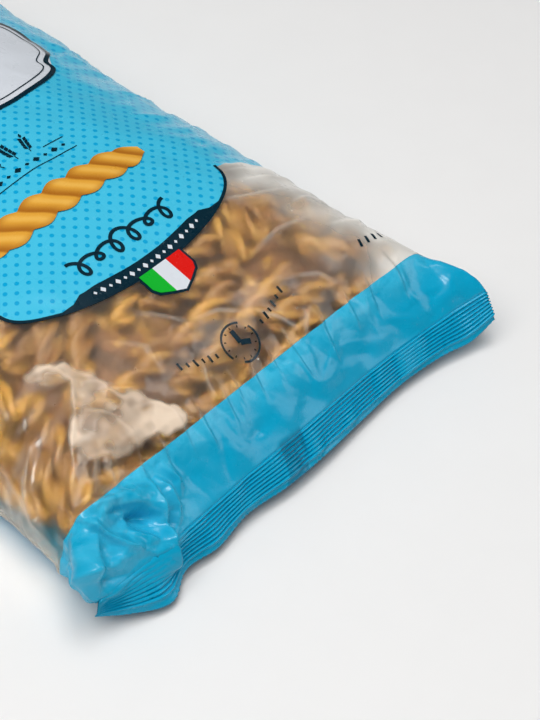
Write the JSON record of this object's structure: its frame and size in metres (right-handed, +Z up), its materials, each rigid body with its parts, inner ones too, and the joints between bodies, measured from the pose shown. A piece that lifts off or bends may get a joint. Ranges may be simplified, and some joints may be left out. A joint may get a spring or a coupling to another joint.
{
  "type": "pasta packet",
  "caption": "Flow-wrapped film packet of pasta spirals lying on its back, with a hazy clear window, a printed front and crimped end seals.",
  "frame": {"origin": "centre of the bounding box at the table the packet lies on", "axes": "+Z up out of the printed front, +Y along the film tube from the windowed, lower end to the far end, +X across the packet"},
  "size_m": [0.178, 0.2646, 0.0579],
  "materials": {
    "printed_film": "gloss"
  },
  "bodies": {
    "root": {"packet": "printed_film"}
  },
  "joints": []
}
